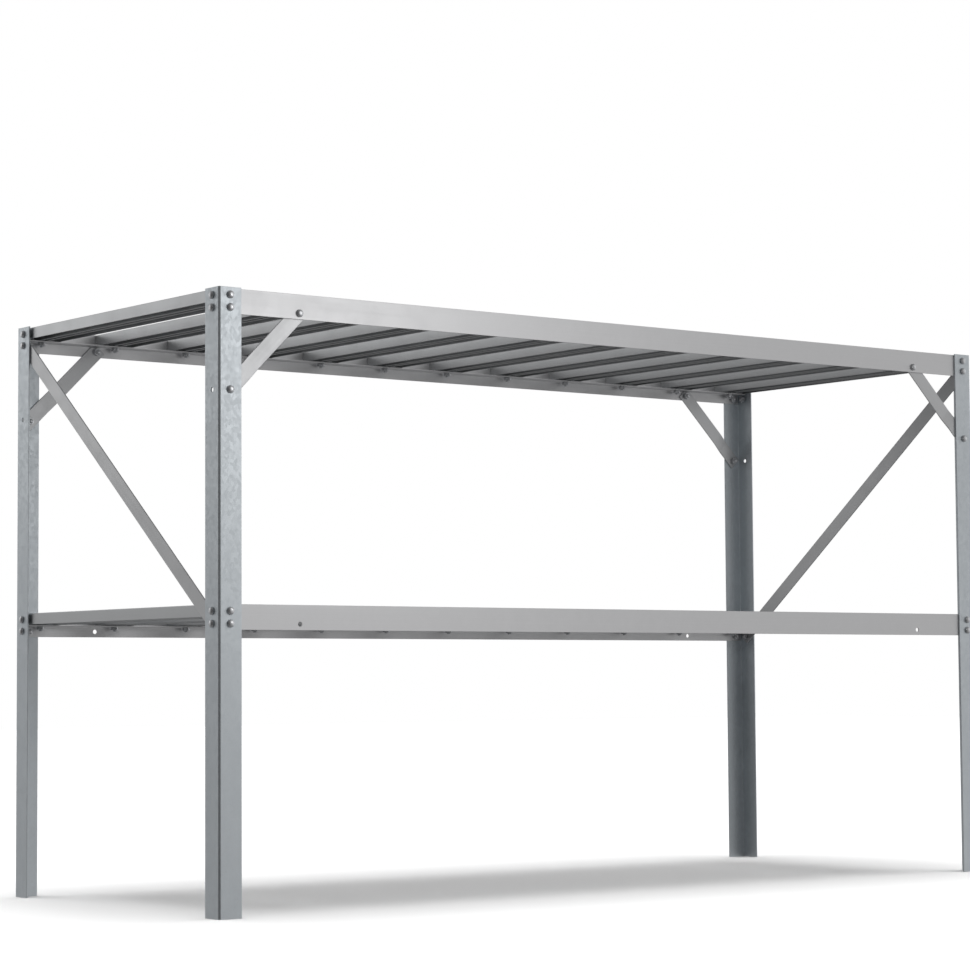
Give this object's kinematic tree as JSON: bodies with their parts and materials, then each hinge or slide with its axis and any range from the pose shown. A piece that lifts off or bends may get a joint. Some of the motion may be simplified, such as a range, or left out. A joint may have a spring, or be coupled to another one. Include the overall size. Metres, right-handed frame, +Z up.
{
  "type": "potting bench",
  "caption": "Open metal potting bench with an upper and a lower slatted shelf, angle legs at the corners, bolted rails, short knee braces and a long diagonal brace at each end.",
  "frame": {"origin": "centre of the footprint, on the floor that the legs stand on", "axes": "+X along the bench to the right seen from the front, +Y from the front to the back, +Z up"},
  "size_m": [1.317, 0.515, 0.76],
  "materials": {
    "leg_steel": "galvanised, faint spangle, semi-matt",
    "rail_aluminium": "mill finish with fine lengthwise lines",
    "slat_aluminium": "mill finish with fine lengthwise lines",
    "brace_steel": "galvanised strip, semi-matt",
    "bolt_zinc": "bright zinc"
  },
  "bodies": {
    "root": {"knee_brace_back_left": "brace_steel", "knee_brace_back_right": "brace_steel", "knee_brace_front_left": "brace_steel", "knee_brace_front_right": "brace_steel", "knee_leg_bolt_back_left": "bolt_zinc", "knee_leg_bolt_back_right": "bolt_zinc", "knee_leg_bolt_front_left": "bolt_zinc", "knee_leg_bolt_front_right": "bolt_zinc", "knee_rail_bolt_back_left": "bolt_zinc", "knee_rail_bolt_back_right": "bolt_zinc", "knee_rail_bolt_front_left": "bolt_zinc", "knee_rail_bolt_front_right": "bolt_zinc", "leg_back_left": "leg_steel", "leg_back_right": "leg_steel", "leg_front_left": "leg_steel", "leg_front_right": "leg_steel", "lower_rail_back": "rail_aluminium", "lower_rail_bolt_back_left": "bolt_zinc", "lower_rail_bolt_back_right": "bolt_zinc", "lower_rail_bolt_front_left": "bolt_zinc", "lower_rail_bolt_front_right": "bolt_zinc", "lower_rail_front": "rail_aluminium", "lower_slat_01": "slat_aluminium", "lower_slat_02": "slat_aluminium", "lower_slat_03": "slat_aluminium", "lower_slat_04": "slat_aluminium", "lower_slat_05": "slat_aluminium", "lower_slat_06": "slat_aluminium", "lower_slat_07": "slat_aluminium", "lower_slat_08": "slat_aluminium", "lower_slat_09": "slat_aluminium", "lower_slat_10": "slat_aluminium", "lower_slat_11": "slat_aluminium", "lower_slat_12": "slat_aluminium", "side_brace_bolt_lower_left": "bolt_zinc", "side_brace_bolt_lower_right": "bolt_zinc", "side_brace_bolt_upper_left": "bolt_zinc", "side_brace_bolt_upper_right": "bolt_zinc", "side_brace_left": "brace_steel", "side_brace_right": "brace_steel", "upper_rail_back": "rail_aluminium", "upper_rail_bolt_back_left": "bolt_zinc", "upper_rail_bolt_back_right": "bolt_zinc", "upper_rail_bolt_front_left": "bolt_zinc", "upper_rail_bolt_front_right": "bolt_zinc", "upper_rail_front": "rail_aluminium", "upper_slat_01": "slat_aluminium", "upper_slat_02": "slat_aluminium", "upper_slat_03": "slat_aluminium", "upper_slat_04": "slat_aluminium", "upper_slat_05": "slat_aluminium", "upper_slat_06": "slat_aluminium", "upper_slat_07": "slat_aluminium", "upper_slat_08": "slat_aluminium", "upper_slat_09": "slat_aluminium", "upper_slat_10": "slat_aluminium", "upper_slat_11": "slat_aluminium", "upper_slat_12": "slat_aluminium"}
  },
  "joints": []
}
